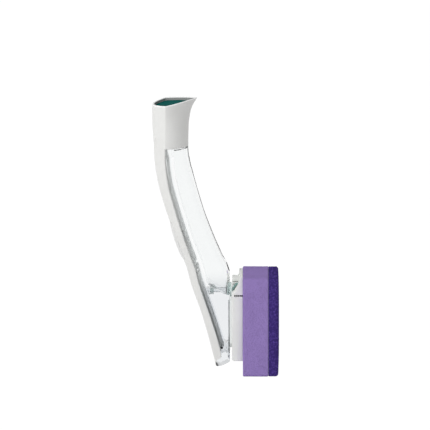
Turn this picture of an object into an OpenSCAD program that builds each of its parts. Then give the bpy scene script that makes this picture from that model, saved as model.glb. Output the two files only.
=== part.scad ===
// Soap dispensing dish wand: a leaning hollow handle with a fill mouth at the
// top, a thumb button on its back and a refill head that slides on its foot.
// The pad faces +X, the handle rises along +Z and y = 0 is the mirror plane.
// The origin is below the middle of the wand, level with the pad's lower end.

/* [Handle] */
// Height of the handle's back edge at the mouth
handle_h = 276.2; // [262:0.1:290]
// Depth of the lean, from the foot's front face back to the mouth's back edge
reach_back = 77.8; // [72:0.1:84]
// Front to back depth of the mouth, with its pouring lip
mouth_d = 45.7; // [43:0.1:48]
// Width of the mouth at its widest
mouth_w = 36.8; // [34:0.1:39]
// Front to back depth at the collar's lower edge
neck_d = 34.6; // [33:0.1:37]
// Front to back depth of the grip
grip_d = 37; // [35:0.1:39]
// Front to back depth at the heel, where the grip meets the foot
heel_d = 41.6; // [40:0.1:44]
// Width of the grip
grip_w = 31; // [29:0.1:33]
// Height of the collar, from the mouth's back edge down to its lower edge
collar_h = 43.4; // [39:0.1:47]
// Depth of the opaque spine behind the clear body
spine_d = 8.6; // [7.8:0.1:9.5]

/* [Walls and clearances] */
// Wall of the clear body
wall = 2; // [1.6:0.1:2.4]
// Wall of the collar and the spine
shell_wall = 2; // [1.6:0.1:2.4]
// Depth of the lever channel in the clear body's back
channel_d = 6.4; // [6:0.1:7.5]
// Gap between the spine and the clear body along their seam
seam_gap = 0.15; // [0.1:0.05:0.3]
// Running clearance of a pin in its hole, on the radius
pin_gap = 0.05; // [0.02:0.01:0.09]
// Gap round pieces that move in a window or a pocket
move_gap = 0.4; // [0.3:0.05:0.6]

/* [Fill mouth] */
// Depth of the plug's face below the rim
plug_depth = 5.3; // [4.5:0.1:6]
// Thickness of the plug's flange
plug_flange_t = 2.4; // [2:0.1:3]
// Diameter of the fill port
port_d = 13; // [12:0.1:14]
// Length of the plug's stem below its flange
plug_stem = 10; // [8:0.5:12]
// Wall of the clear body's neck
neck_wall = 1.8; // [1.6:0.1:2.2]

/* [Thumb button and levers] */
// Width of the thumb button
button_w = 13; // [11:0.5:15]
// How far the button stands proud of the spine
button_proud = 2; // [1.4:0.1:2.6]
// Width of the levers
lever_w = 9; // [7:0.5:12]
// Thickness of the levers
lever_t = 2.4; // [2:0.1:3]
// Diameter of the lever pins
pin_d = 2.5; // [2:0.1:3]
// Diameter of the valve stem
stem_d = 4; // [3.4:0.1:4.6]
// Diameter of the soap outlet
outlet_d = 8; // [7:0.1:9]
// Height of the soap outlet above the pad's lower end
outlet_z = 84; // [82:0.1:85]

/* [Head] */
// Gap between the foot's face and the head plate
rail_gap = 1.8; // [1.7:0.1:2.4]
// Length of the head plate
plate_len = 86.6; // [84:0.1:90]
// Width of the head plate
plate_w = 37; // [35:0.5:40]
// Thickness of the head plate
plate_t = 11; // [10:0.1:13]
// How far the pad reaches below the head plate
pad_tail = 14.6; // [12:0.1:17]
// Width of the rail's flange
rail_w = 24; // [22:0.1:26]
// Width of the rail's web
rail_web_w = 16; // [15:0.1:18]
// Thickness of the rail's flange
rail_t = 2.6; // [2.2:0.1:3]

/* [Pad] */
// Length of the pad
pad_len = 102; // [98:0.5:108]
// Width of the pad
pad_w = 53; // [50:0.5:58]
// Thickness of the foam
foam_t = 25.5; // [22:0.1:30]
// Thickness of the scrub layer
scrub_t = 10.9; // [8:0.1:13]

/* [Hidden] */
$fn = 48;
eps = 0.01;

depth_all = reach_back + rail_gap + plate_t + foam_t + scrub_t;
// Planes square to X, from the pad's outer face backwards
x_scrub = depth_all / 2;
x_foam = x_scrub - scrub_t;
x_plate = x_foam - foam_t;
x_back = x_plate - plate_t;
x_foot = x_back - rail_gap;

// The handle's shape is set by rows down its length. Each row is a cut across
// the handle: reach of the back edge behind the foot's face, height of the
// back edge, upward tilt of the cut towards the front, depth, half width,
// depth of the spine, and the two exponents of the side's curve.
collar_z = handle_h - collar_h;
reach_k = reach_back / 77.8;
rise_k = handle_h / 276.2;
heel_cut = 13.8;
half_w = grip_w / 2;
heel_w = half_w + 0.6;
function foot_row(reach, z, tilt, w, spine) = [reach, z, tilt, reach * reach_k / cos(tilt), w, spine, 8, 5];
rows_raw = [
    [77.8, 276.2, 8.6, mouth_d, mouth_w / 2, spine_d + 4.7, 1.4, 1],
    [77.9, 267.1, 8.4, mouth_d - 5.6, mouth_w / 2 - 0.8, spine_d + 4.7, 1.5, 1.05],
    [77.8, 260, 3.5, neck_d + 2.7, half_w + 1.4, spine_d + 4.5, 1.7, 1.2],
    [77.6, 252.5, 0, neck_d + 1.6, half_w + 0.8, spine_d + 4.2, 1.9, 1.3],
    [76.2, collar_z / rise_k, 0, neck_d, half_w, spine_d + 2.9, 2, 1.35],
    [75.4, 216.9, 2.4, grip_d - 1.6, half_w, spine_d + 2.1, 2.2, 1.5],
    [71.9, 194.1, 10.6, grip_d, half_w, spine_d + 1.6, 2.4, 1.7],
    [65.6, 170.8, 14.5, grip_d, half_w, spine_d + 1.2, 2.4, 1.7],
    [58.2, 148.6, 20.8, grip_d - 0.4, half_w, spine_d + 0.4, 2.4, 1.7],
    [50.9, 127.3, 20.4, grip_d + 0.3, half_w, spine_d, 2.4, 1.7],
    [43.2, 106.1, 22.2, heel_d - 3.2, half_w, spine_d, 2.6, 1.8],
    [38.6, 88.5, 21.9, heel_d, heel_w, spine_d, 4, 3],
    foot_row(30, 64.2, 21.6, heel_w, spine_d - 0.4),
    foot_row(23.4, 41.9, 19.5, heel_w, spine_d + 0.2),
    foot_row(18, 21.2, 19, half_w, spine_d + 0.4),
    foot_row(14.2, 5.7, 25.6, half_w - 2.5, spine_d - 1.6)];
// Row numbers of the places along the handle that other pieces refer to
MOUTH = 0;
COLLAR = 4;
TAIL = 15;

function spread(r) = let (
        bx = x_foot - r[0] * reach_k,
        bz = r[1] * rise_k,
        fx = bx + r[3] * cos(r[2]),
        fz = bz + r[3] * sin(r[2]))
    [bx, bz, fx, fz, r[4], r[5], r[6], r[7]];
rows = [for (r = rows_raw) spread(r)];
function curve(a, b, c, d, t) =
    0.5 * (2 * b + (c - a) * t + (2 * a - 5 * b + 4 * c - d) * t * t + (3 * b - a - 3 * c + d) * t * t * t);
// A cut at any place along the handle, counted in rows from the mouth
function cut(k) = let (
        i = min(max(floor(k), 0), len(rows) - 2),
        r = curve(rows[max(i - 1, 0)], rows[i], rows[i + 1], rows[min(i + 2, len(rows) - 1)], k - i))
    [r[0], r[1], min(r[2], x_foot), r[3], r[4], r[5], r[6], r[7]];
function depth(c) = norm([c[2] - c[0], c[3] - c[1]]);
// The point of a cut that lies u in front of the back edge and w to the side
function at(c, u, w) = let (d = depth(c))
    [c[0] + (c[2] - c[0]) * u / d, w, c[1] + (c[3] - c[1]) * u / d];
function flat(c, u) = let (p = at(c, u, 0)) [p[0], p[2]];

BACK_STEPS = 6;
SIDE_STEPS = 10;
// Back of a cut: a parabola from the back edge to the seam, as [u, w]
function back_arc(c, inset) = let (s = c[5] - inset, w = c[4] - inset)
    [for (j = [-BACK_STEPS:BACK_STEPS]) let (t = j / BACK_STEPS) [inset + s * t * t, w * t]];
// Front of a cut: round the nose between two points that lie from in front of
// the seam, as [u, w]
function front_arc(c, inset, from) = let (
        l = depth(c) - inset - c[5],
        w = c[4] - inset,
        a0 = asin(pow(from / l, c[6] / 2)))
    [for (j = [-SIDE_STEPS:SIDE_STEPS]) let (
            a = a0 + (90 - a0) * (1 - abs(j) / SIDE_STEPS),
            side = j < 0 ? 1 : -1)
        [c[5] + l * pow(sin(a), 2 / c[6]), side * w * pow(cos(a), 2 / c[7])]];
function ring(c, outline) = [for (p = outline) at(c, p[0], p[1])];

// A solid through rings that all have the same number of points
module loft(rings) {
    n = len(rings[0]);
    m = len(rings);
    sides = [for (i = [0:m - 2]) for (j = [0:n - 1]) let (k = (j + 1) % n)
        each [[i * n + j, (i + 1) * n + j, (i + 1) * n + k], [i * n + j, (i + 1) * n + k, i * n + k]]];
    ends = [[for (j = [0:n - 1]) j], [for (j = [n - 1:-1:0]) (m - 1) * n + j]];
    polyhedron(points = [for (r = rings) each r], faces = concat(sides, ends));
}

// A flat outline in the mirror plane, drawn as [x, z], made w wide
module slab(w) {
    rotate([90, 0, 0])
        linear_extrude(w, center = true)
            children();
}

// A cylinder that lies across the wand
module across(d, w, x, z) {
    translate([x, 0, z])
        rotate([90, 0, 0])
            cylinder(d = d, h = w, center = true);
}

// A cylinder along X
module along(d, x0, x1, z) {
    translate([x0, 0, z])
        rotate([0, 90, 0])
            cylinder(d = d, h = x1 - x0);
}

function steps(a, b, n) = [for (i = [0:n]) a + (b - a) * i / n];

// Places that several pieces share
deck_depth = plug_depth + plug_flange_t;
mouth_drop = rows[0][1] - rows[1][1];
function mouth_row(d) = d / mouth_drop;
neck_d_out = port_d + 2 * neck_wall;
port_x = rows[COLLAR][0] + rows[COLLAR][5] + neck_d_out / 2 + 1;
neck_top = rows[2][1] + 1;
seal_t = 1.5;
deck_row = 1.3;

lever_gap = 1.1;
lever_eye_d = 6.6;
ear_t = 2.5;
top_pivot = flat(cut(3.8), 8);
low_pivot = flat(cut(13.85), cut(13.85)[5] + 2);
tip_row = 10.1;
lap_t = 1;
button_rows = [7.77, 9.46];
button_len = norm(flat(cut(button_rows[0]), 0) - flat(cut(button_rows[1]), 0));
rows_per_mm = (button_rows[1] - button_rows[0]) / button_len;

// Row at which a line u in front of the seam reaches a height
function row_at(z, u, lo = 8, hi = 14, n = 24) = let (m = (lo + hi) / 2, c = cut(m))
    n == 0 ? m : flat(c, c[5] + u)[1] > z ? row_at(z, u, m, hi, n - 1) : row_at(z, u, lo, m, n - 1);
function seam_x(z, u) = let (c = cut(row_at(z, u))) flat(c, c[5] + u)[0];

// A line that follows the seam from one row to another, u in front of it
function seam_line(k0, k1, u, n) = [for (k = steps(k0, k1, n)) flat(cut(k), cut(k)[5] + u)];

function full(c, inset) = let (b = back_arc(c, inset))
    concat(front_arc(c, inset, 0), [for (j = [1:2 * BACK_STEPS - 1]) b[j]]);
function box_ring(u0, u1, w) = [[u0, -w], [u0, w], [u1, w], [u1, -w]];

module back_shell() {
    color([0.85, 0.86, 0.85])
    difference() {
        union() {
            difference() {
                union() {
                    loft([for (k = steps(MOUTH, COLLAR, 10)) ring(cut(k), full(cut(k), 0))]);
                    loft([for (k = steps(COLLAR, TAIL, 28)) ring(cut(k), back_arc(cut(k), 0))]);
                }
                collar_hollow();
                spine_hollow();
            }
            pivot_ears();
        }
        mouth_recess();
        translate([port_x, 0, neck_top])
            cylinder(d = port_d, h = handle_h - neck_top);
        across(pin_d, top_pin_len, top_pivot[0], top_pivot[1]);
        button_window();
    }
}

// The funnel above the deck, open at the rim
module mouth_recess() {
    c0 = cut(mouth_row(deck_depth));
    c1 = cut(0);
    up = [c1[0] - c0[0], c1[1] - c0[1]];
    above = [c1[0] + up[0], c1[1] + up[1], c1[2] + c1[2] - c0[2], c1[3] + c1[3] - c0[3],
        2 * c1[4] - c0[4], c1[5], c1[6], c1[7]];
    loft([for (c = [above, c1, cut(mouth_row(deck_depth / 2)), c0]) ring(c, full(c, shell_wall))]);
}

// The space round the neck, under the deck
module collar_hollow() {
    difference() {
        loft([for (k = [deck_row, 1.7, 2.2, 2.8, 3.4, COLLAR, COLLAR + 0.1])
            ring(cut(k), full(cut(k), shell_wall))]);
        translate([port_x, 0, neck_top])
            cylinder(d = neck_d_out, h = mouth_d);
    }
}

module spine_hollow() {
    loft([for (k = steps(COLLAR - 0.3, 14.4, 26)) let (c = cut(k), w = c[4] - shell_wall)
        ring(c, concat(back_arc(c, shell_wall), [[c[5] + 1, w], [c[5] + 1, -w]]))]);
}

// Two ears in the collar that carry the upper pin
module pivot_ears() {
    ear_in = lever_w / 2 + move_gap;
    for (side = [-1, 1])
        translate([0, side * (ear_in + ear_t / 2), 0])
            slab(ear_t)
                polygon([flat(cut(3.5), 2.6), flat(cut(3.5), 11.4), flat(cut(3.97), 11.4),
                    flat(cut(3.97), 2.6)]);
}

module button_window() {
    w = button_w / 2 + move_gap;
    ease = 2 * move_gap * rows_per_mm;
    loft([for (k = steps(button_rows[0] - ease, button_rows[1] + ease, 8))
        ring(cut(k), box_ring(-4, 5, w))]);
}

module thumb_button() {
    w = button_w / 2;
    function crest(k) = let (t = (k - button_rows[0]) / (button_rows[1] - button_rows[0]))
        0.3 + (button_proud - 0.3) * pow(sin(180 * t), 0.6);
    function outer(c, y) = c[5] * pow(y / c[4], 2);
    color([0.88, 0.88, 0.87]) {
        loft([for (k = steps(button_rows[0], button_rows[1], 14)) let (c = cut(k), h = crest(k))
            ring(c, concat(
                [for (j = [-4:4]) let (y = w * j / 4) [outer(c, y) - h * (1 - 0.3 * pow(j / 4, 2)), y]],
                [[shell_wall + 1.4, w], [shell_wall + 1.4, -w]]))]);
        slab(6)
            polygon([for (k = [8.35, 8.9]) flat(cut(k), 3),
                for (k = [8.9, 8.35]) flat(cut(k), cut(k)[5] + lever_gap - 0.1)]);
    }
}

module upper_lever() {
    u1 = lever_gap + lever_t;
    color([0.33, 0.36, 0.35])
    difference() {
        slab(lever_w)
            difference() {
                union() {
                    translate(top_pivot)
                        circle(d = lever_eye_d);
                    polygon(concat([top_pivot + [3.1, 0], top_pivot + [-2.6, 0]],
                        seam_line(4.9, tip_row + 0.12, lever_gap, 24),
                        seam_line(tip_row + 0.12, tip_row - 0.35, lever_gap + lap_t, 3),
                        seam_line(tip_row - 0.35, 4.9, u1, 20)));
                }
                translate(top_pivot)
                    circle(d = pin_d + 2 * pin_gap);
            }
        translate([0, 2.9, 0])
            across(7.6, 3.6, top_pivot[0], top_pivot[1]);
    }
}

module lower_lever() {
    u1 = lever_gap + lever_t;
    lap = lever_gap + lap_t + 0.3;
    color([0.33, 0.36, 0.35])
    slab(lever_w)
        difference() {
            union() {
                translate(low_pivot)
                    circle(d = lever_eye_d);
                polygon(concat(seam_line(tip_row - 0.12, tip_row + 0.3, lap, 3),
                    seam_line(tip_row + 0.3, heel_cut, lever_gap, 14),
                    seam_line(heel_cut, tip_row - 0.12, u1, 16)));
            }
            translate(low_pivot)
                circle(d = pin_d + 2 * pin_gap);
        }
}

// A tube along a list of points in space, six-sided
module wire(path, d) {
    n = len(path);
    function along_path(i) = let (a = path[max(i - 1, 0)], b = path[min(i + 1, n - 1)]) (b - a) / norm(b - a);
    function side_of(t) = let (s = cross(t, [0.31, 0.94, 0.13])) s / norm(s);
    loft([for (i = [0:n - 1]) let (t = along_path(i), s = side_of(t), q = cross(t, s))
        [for (j = [0:5]) path[i] + d / 2 * (cos(60 * j) * s + sin(60 * j) * q)]]);
}

// Torsion spring on the upper pin, with one leg on the lever and one on the spine
module lever_spring() {
    r = 2.5;
    turns = 4;
    pitch = 0.78;
    wire_d = 0.6;
    y0 = 1.45;
    leg_down = 2.5;
    leg_up = 3.2;
    coil = [for (i = [0:12 * turns]) let (a = 30 * i)
        [top_pivot[0] + r * cos(a), y0 + pitch * i / 12, top_pivot[1] + r * sin(a)]];
    color([0.75, 0.76, 0.78])
        wire(concat([[top_pivot[0] + r, y0, top_pivot[1] - leg_down]], coil,
            [[top_pivot[0] + r, y0 + pitch * turns, top_pivot[1] + leg_up]]), wire_d);
}

top_pin_len = lever_w + 2 * (move_gap + ear_t);
module upper_pin() {
    color([0.78, 0.79, 0.8])
        across(pin_d, top_pin_len, top_pivot[0], top_pivot[1]);
}

low_pin_len = 2 * (rows[14][4] - wall + 1.2);
module lower_pin() {
    color([0.78, 0.79, 0.8])
        across(pin_d, low_pin_len, low_pivot[0], low_pivot[1]);
}

// Cuts that turn the lower end of the soap chamber down towards the outlet
function floor_cut(reach, back, front) =
    [x_foot - reach, outlet_z + back, x_foot - wall, outlet_z + front, heel_w - wall, 0, 4, 3];
module soap_chamber() {
    from = channel_d + wall;
    low = [floor_cut(24.3, 15.4, 16), floor_cut(23.8, 12.6, 9), floor_cut(22.6, 10, 2),
        floor_cut(21.2, 8.4, -outlet_d / 2)];
    loft(concat([for (k = steps(COLLAR + 0.13, 10.6, 18)) ring(cut(k), front_arc(cut(k), wall, from))],
        [for (c = low) ring(c, front_arc(c, 0, 0))]));
}

module lever_channel() {
    loft([for (k = steps(COLLAR - 0.1, 14.15, 26)) let (c = cut(k))
        ring(c, box_ring(c[5] - 4, c[5] + channel_d, c[4] - wall))]);
}

// The dry space in the foot, open at the front
foot_inner = half_w - wall - 0.6;
chamber_top = outlet_z - outlet_d / 2 - 4;
chamber_low = rows[14][3] - 3;
chamber_d = 4;
module dry_chamber() {
    from = channel_d + wall;
    k0 = row_at(chamber_top - 1, from);
    slab(2 * foot_inner)
        polygon(concat(seam_line(k0, heel_cut, from, 4),
            [[x_foot - chamber_d, chamber_low], [x_foot + 1, chamber_low], [x_foot + 1, chamber_top],
                [x_foot - chamber_d, chamber_top]]));
}

module reservoir_body() {
    boot_x = seam_x(outlet_z, channel_d);
    color([0.9, 0.95, 0.95, 0.4])
    difference() {
        union() {
            difference() {
                loft([for (k = steps(COLLAR, TAIL, 28)) ring(cut(k), front_arc(cut(k), 0, seam_gap))]);
                soap_chamber();
                lever_channel();
                dry_chamber();
            }
            translate([port_x, 0, collar_z - wall])
                cylinder(d = neck_d_out, h = neck_top - seal_t - collar_z + wall);
        }
        translate([port_x, 0, collar_z - wall - 8])
            cylinder(d = port_d, h = neck_top - collar_z + wall + 8);
        along(outlet_d, x_foot - wall - 4, x_foot + 1, outlet_z);
        along(stem_d + 2 * pin_gap, boot_x - 3, x_foot - wall, outlet_z);
        along(2 * stem_d, boot_x - 3, boot_x + 5, outlet_z);
        across(pin_d, low_pin_len, low_pivot[0], low_pivot[1]);
    }
}

module neck_seal() {
    color([0.2, 0.22, 0.22])
    translate([port_x, 0, neck_top - seal_t])
        difference() {
            cylinder(d = neck_d_out, h = seal_t);
            translate([0, 0, -1])
                cylinder(d = port_d + 0.6, h = seal_t + 2);
        }
}

module fill_plug() {
    inset = shell_wall + move_gap;
    top = cut(mouth_row(plug_depth));
    low = cut(mouth_row(deck_depth) - 0.005);
    rib_d = port_d - 0.16;
    stem_top = flat(top, port_x - top[0])[1] - plug_flange_t / 2;
    color([0.05, 0.34, 0.32])
    difference() {
        union() {
            loft([ring(top, full(top, inset)), ring(low, full(low, inset))]);
            translate([port_x, 0, stem_top - plug_stem])
                cylinder(d = port_d - 1, h = plug_stem);
            for (i = [0:2])
                translate([port_x, 0, stem_top - plug_stem + 0.8 + i * 2.4])
                    cylinder(d = rib_d, h = 1);
            for (i = [0:2])
                slab(8 - 2 * i)
                    polygon([for (u = [29, 30]) flat(top, u + 2.6 * i) - [0, 0.3],
                        for (u = [30, 29]) flat(top, u + 2.6 * i) + [0, 0.7]]);
        }
        translate([port_x, 0, stem_top - plug_stem - 1])
            cylinder(d = port_d - 5, h = plug_stem - 1);
    }
}

module valve_stem() {
    tail_x = seam_x(outlet_z, lever_gap + lever_t) + 0.9;
    color([0.88, 0.92, 0.92, 0.6])
        along(stem_d, tail_x, x_foot + 1.5, outlet_z);
}

module valve_disc() {
    color([0.1, 0.42, 0.4])
    difference() {
        along(outlet_d + 2, x_foot, x_foot + 1.2, outlet_z);
        along(stem_d, x_foot - 1, x_foot + 2, outlet_z);
    }
}

module stem_seal_ring(x0, x1) {
    difference() {
        along(2 * stem_d, x0, x1, outlet_z);
        along(stem_d + 2 * pin_gap, x0 - 1, x1 + 1, outlet_z);
    }
}

module stem_boot() {
    boot_x = seam_x(outlet_z, channel_d);
    color([0.85, 0.88, 0.88, 0.7])
        stem_seal_ring(boot_x + 1.4, boot_x + 5);
}

module outlet_seal() {
    color([0.1, 0.42, 0.4])
    difference() {
        along(outlet_d + 6.4, x_foot, x_back - 0.3, outlet_z);
        along(outlet_d + 3.4, x_foot - 1, x_back + 1, outlet_z);
    }
}

fit_gap = 0.1;
rail_low = chamber_low + 2;
rail_top = chamber_top - 1.5;
flange_x = x_back + 2.4;
module rail_plate() {
    color([0.86, 0.9, 0.9, 0.6]) {
        translate([x_foot - wall, -foot_inner + fit_gap, chamber_low + fit_gap])
            cube([wall, 2 * (foot_inner - fit_gap), chamber_top - chamber_low - 2 * fit_gap]);
        translate([x_foot - eps, -rail_web_w / 2, rail_low])
            cube([flange_x - x_foot + 2 * eps, rail_web_w, rail_top - rail_low]);
        translate([flange_x, -rail_w / 2, rail_low])
            cube([rail_t, rail_w, rail_top - rail_low]);
    }
}

plate_top = pad_tail + plate_len;
vent_z = plate_top - 19.6;
clip_w = 20.4;
thumb_w = 18;
spread_t = 2.5;
spread_w = 18;
spread_len = 64;
spread_low = pad_tail + 14;
spread_end = 7;
spread_hole_d = 3;
spread_holes = 6;
module plate_side() {
    polygon([[x_plate, pad_tail], [x_plate, plate_top], [x_back + 7.5, plate_top], [x_back + 7.3, plate_top - 4.6],
        [x_back + 4.8, plate_top - 10], [x_back + 1.2, plate_top - 15.4], [x_back, plate_top - 17.4],
        [x_back, pad_tail + 1.6], [x_back + 1.6, pad_tail]]);
}
module thumb_side() {
    polygon([[x_back + 8, plate_top - 0.6], [x_back + 4, plate_top - 3.6], [x_back + 0.3, plate_top - 5.8],
        [x_back + 0.3, plate_top - 17], [x_back + 8, plate_top - 17]]);
}
module clip_side() {
    polygon([[x_back + 0.3, plate_top - 16.6], [x_back + 4.6, plate_top - 10.1], [x_back + 7.6, plate_top - 10.1],
        [x_back + 7.6, plate_top - 8.7], [x_back + 3.8, plate_top - 8.7], [x_back + 0.3, plate_top - 14]]);
}

module head_plate() {
    slot = move_gap;
    color([0.82, 0.83, 0.82])
    difference() {
        union() {
            slab(plate_w)
                plate_side();
            slab(thumb_w)
                thumb_side();
        }
        slab(clip_w)
            clip_side();
        translate([x_back - 1, -rail_web_w / 2 - slot, pad_tail - 1])
            cube([flange_x - x_back + 2, rail_web_w + 2 * slot, rail_top - pad_tail + 1 + 0.3]);
        translate([flange_x - slot, -rail_w / 2 - slot, pad_tail - 1])
            cube([rail_t + 2 * slot, rail_w + 2 * slot, rail_top - pad_tail + 1 + 0.3]);
        along(outlet_d + 3.4, x_back - 1, x_back + 3, outlet_z);
        along(outlet_d - 2, x_back, x_plate + 1, outlet_z);
        spreader_block(0, spread_t + 1);
        for (side = [-1, 1])
            for (i = [0:5])
                translate([x_back + 2.4 + 1.45 * i, side * plate_w / 2 - 0.5, vent_z])
                    cube([0.9, 1, 0.9]);
    }
}

module spreader_block(gap, depth) {
    translate([x_plate - spread_t + gap, -spread_w / 2 + gap, spread_low + gap])
        cube([depth, spread_w - 2 * gap, spread_len - 2 * gap]);
}

module grip_clip() {
    color([0.1, 0.42, 0.4])
    difference() {
        slab(clip_w)
            clip_side();
        along(outlet_d + 4.4, x_back - 1, x_back + 8, outlet_z);
    }
}

module soap_spreader() {
    color([0.9, 0.91, 0.9])
    difference() {
        spreader_block(fit_gap, spread_t - fit_gap);
        for (i = [0:spread_holes - 1])
            along(spread_hole_d, x_plate - 4, x_plate + 1,
                spread_low + spread_end + (spread_len - 2 * spread_end) * i / (spread_holes - 1));
        translate([x_plate - 0.8, -1.2, spread_low + spread_end])
            cube([2, 2.4, spread_len - 2 * spread_end]);
    }
}

pad_r_top = 8;
pad_r_low = 5;
module pad_outline(r_top, r_low) {
    hull() {
        for (side = [-1, 1]) {
            translate([side * (pad_w / 2 - r_top), pad_len - r_top])
                circle(r = r_top, $fn = 24);
            translate([side * (pad_w / 2 - r_low), r_low])
                circle(r = r_low, $fn = 24);
        }
    }
}

module pad_layer(x, t) {
    translate([x, 0, 0])
        rotate([90, 0, 90])
            linear_extrude(t)
                pad_outline(pad_r_top, pad_r_low);
}

module sponge() {
    color([0.6, 0.52, 0.75])
        pad_layer(x_plate, foam_t);
}

module scrub_pad() {
    color([0.29, 0.22, 0.47])
        pad_layer(x_foam, scrub_t);
}

reservoir_body();
back_shell();
neck_seal();
fill_plug();
thumb_button();
upper_lever();
lever_spring();
upper_pin();
lower_lever();
lower_pin();
valve_stem();
valve_disc();
stem_boot();
outlet_seal();
rail_plate();
head_plate();
grip_clip();
soap_spreader();
sponge();
scrub_pad();
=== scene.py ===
"""Dish wand: the pieces of a soap dispensing wand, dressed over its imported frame.

Lengths in the shape functions are millimetres in the row frame, and every mesh
is written in metres. The handle is a row of cuts from its mouth down to its
tail, and the clear body, the collar, the spine and the button all follow them.
"""
import math

import bmesh
import bpy
import numpy as np
from bpy.props import FloatProperty, FloatVectorProperty, IntProperty, PointerProperty
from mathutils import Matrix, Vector, noise


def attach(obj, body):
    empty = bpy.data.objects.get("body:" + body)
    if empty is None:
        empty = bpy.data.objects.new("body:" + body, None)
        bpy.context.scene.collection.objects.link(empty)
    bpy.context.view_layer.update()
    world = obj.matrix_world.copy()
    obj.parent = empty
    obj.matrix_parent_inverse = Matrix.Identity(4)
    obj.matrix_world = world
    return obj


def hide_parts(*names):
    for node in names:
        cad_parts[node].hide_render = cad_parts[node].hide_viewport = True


bl_info = {
    "name": "Dish wand",
    "version": (1, 0, 0),
    "blender": (4, 5, 0),
    "location": "3D View > Sidebar > Dish wand",
    "description": "Dresses a soap dispensing dish wand over its packed frame",
    "category": "Object",
}

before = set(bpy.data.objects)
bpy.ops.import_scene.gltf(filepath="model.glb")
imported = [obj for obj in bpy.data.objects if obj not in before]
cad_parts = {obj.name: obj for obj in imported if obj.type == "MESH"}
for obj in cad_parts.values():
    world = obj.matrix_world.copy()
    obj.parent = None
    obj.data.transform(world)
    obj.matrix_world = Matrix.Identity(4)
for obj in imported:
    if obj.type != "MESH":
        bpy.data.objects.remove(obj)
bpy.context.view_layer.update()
MM = 0.001


def shade(code):
    """A colour that is written as six hex digits, as linear red, green and blue."""
    parts = [int(code[i:i + 2], 16) / 255 for i in (0, 2, 4)]
    return tuple(p / 12.92 if p <= 0.04045 else ((p + 0.055) / 1.055) ** 2.4 for p in parts)


# Planes square to X, from the pad's outer face back to the foot
X_SCRUB, X_FOAM, X_PLATE, X_BACK, X_FOOT = 63.5, 52.6, 27.1, 16.1, 14.3
# Walls and clearances
WALL, SHELL_WALL, NECK_WALL = 2.0, 2.0, 1.8
SEAM_GAP, MOVE_GAP, PIN_GAP, LAYER_GAP = 0.15, 0.4, 0.05, 0.02
# Bores and bars
PIN_D, PORT_D, OUTLET_D, STEM_D = 2.5, 13.0, 8.0, 4.0
OUTLET_Z = 84.0
CHANNEL_D = 6.4
# Depths below the mouth's rim: the plug's seat, and the face of the plug
PLUG_DEPTH, PLUG_FACE = 5.3, 3.5
PLUG_FLANGE, PLUG_STEM, PLUG_EDGE = 2.4, 10.0, 0.6
# Depth of the spine, and half widths of the grip and the heel
SPINE, HALF_W = 8.6, 15.5
HEEL_W = HALF_W + 0.6
# Rows at the mouth, at the collar's lower edge and at the tail
MOUTH, COLLAR, TAIL = 0, 4, 15
# Steps from a cut's nose to its seam, and from the seam to its back edge
FRONT_STEPS, BACK_STEPS = 36, 14


def foot_row(reach, z, tilt, w, spine):
    """A cut of the foot, whose front lies on the foot's face."""
    return (reach, z, tilt, reach / math.cos(math.radians(tilt)), w, spine, 8, 5)


# Each cut: reach behind the foot, height, tilt, depth, half width, depth of the
# spine, and the two exponents of the side's curve
ROWS = [
    (77.8, 276.2, 8.6, 45.7, 18.4, SPINE + 4.7, 1.4, 1),
    (77.9, 267.1, 8.4, 40.1, 17.6, SPINE + 4.7, 1.5, 1.05),
    (77.8, 260, 3.5, 37.3, HALF_W + 1.4, SPINE + 4.5, 1.7, 1.2),
    (77.6, 252.5, 0, 36.2, HALF_W + 0.8, SPINE + 4.2, 1.9, 1.3),
    (76.2, 232.8, 0, 34.6, HALF_W, SPINE + 2.9, 2, 1.35),
    (75.4, 216.9, 2.4, 35.4, HALF_W, SPINE + 2.1, 2.2, 1.5),
    (71.9, 194.1, 10.6, 37, HALF_W, SPINE + 1.6, 2.4, 1.7),
    (65.6, 170.8, 14.5, 37, HALF_W, SPINE + 1.2, 2.4, 1.7),
    (58.2, 148.6, 20.8, 36.6, HALF_W, SPINE + 0.4, 2.4, 1.7),
    (50.9, 127.3, 20.4, 37.3, HALF_W, SPINE, 2.4, 1.7),
    (43.2, 106.1, 22.2, 38.4, HALF_W, SPINE, 2.6, 1.8),
    (38.6, 88.5, 21.9, 41.6, HEEL_W, SPINE, 4, 3),
    foot_row(30, 64.2, 21.6, HEEL_W, SPINE - 0.4),
    foot_row(23.4, 41.9, 19.5, HEEL_W, SPINE + 0.2),
    foot_row(18, 21.2, 19, HALF_W, SPINE + 0.4),
    foot_row(14.2, 5.7, 25.6, HALF_W - 2.5, SPINE - 1.6),
]


def spread(row):
    """A cut as its back point, its front point, and the rest of its row."""
    reach, z, tilt, depth, w, s, p, q = row
    t = math.radians(tilt)
    x = X_FOOT - reach
    return np.array([x, z, x + depth * math.cos(t), z + depth * math.sin(t), w, s, p, q])


SPREAD = [spread(r) for r in ROWS]


def cut(k):
    """A cut at any place along the handle, counted in rows from the mouth."""
    i = min(max(int(math.floor(k)), 0), len(SPREAD) - 2)
    a, b, c, d = (SPREAD[min(max(j, 0), len(SPREAD) - 1)] for j in (i - 1, i, i + 1, i + 2))
    t = k - i
    r = 0.5 * (2 * b + (c - a) * t + (2 * a - 5 * b + 4 * c - d) * t * t
               + (3 * b - a - 3 * c + d) * t ** 3)
    r[2] = min(r[2], X_FOOT)
    return r


def deep(c):
    """Depth of a cut, from its back edge to its front."""
    return math.hypot(c[2] - c[0], c[3] - c[1])


def at(c, u, w):
    """The point of a cut that lies u in front of its back edge and w to the side."""
    d = deep(c)
    return (c[0] + (c[2] - c[0]) * u / d, w, c[1] + (c[3] - c[1]) * u / d)


def flat(c, u):
    """The same in the mirror plane, as (x, z)."""
    p = at(c, u, 0)
    return p[0], p[2]


def ring(c, outline):
    return [at(c, u, w) for u, w in outline]


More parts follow.
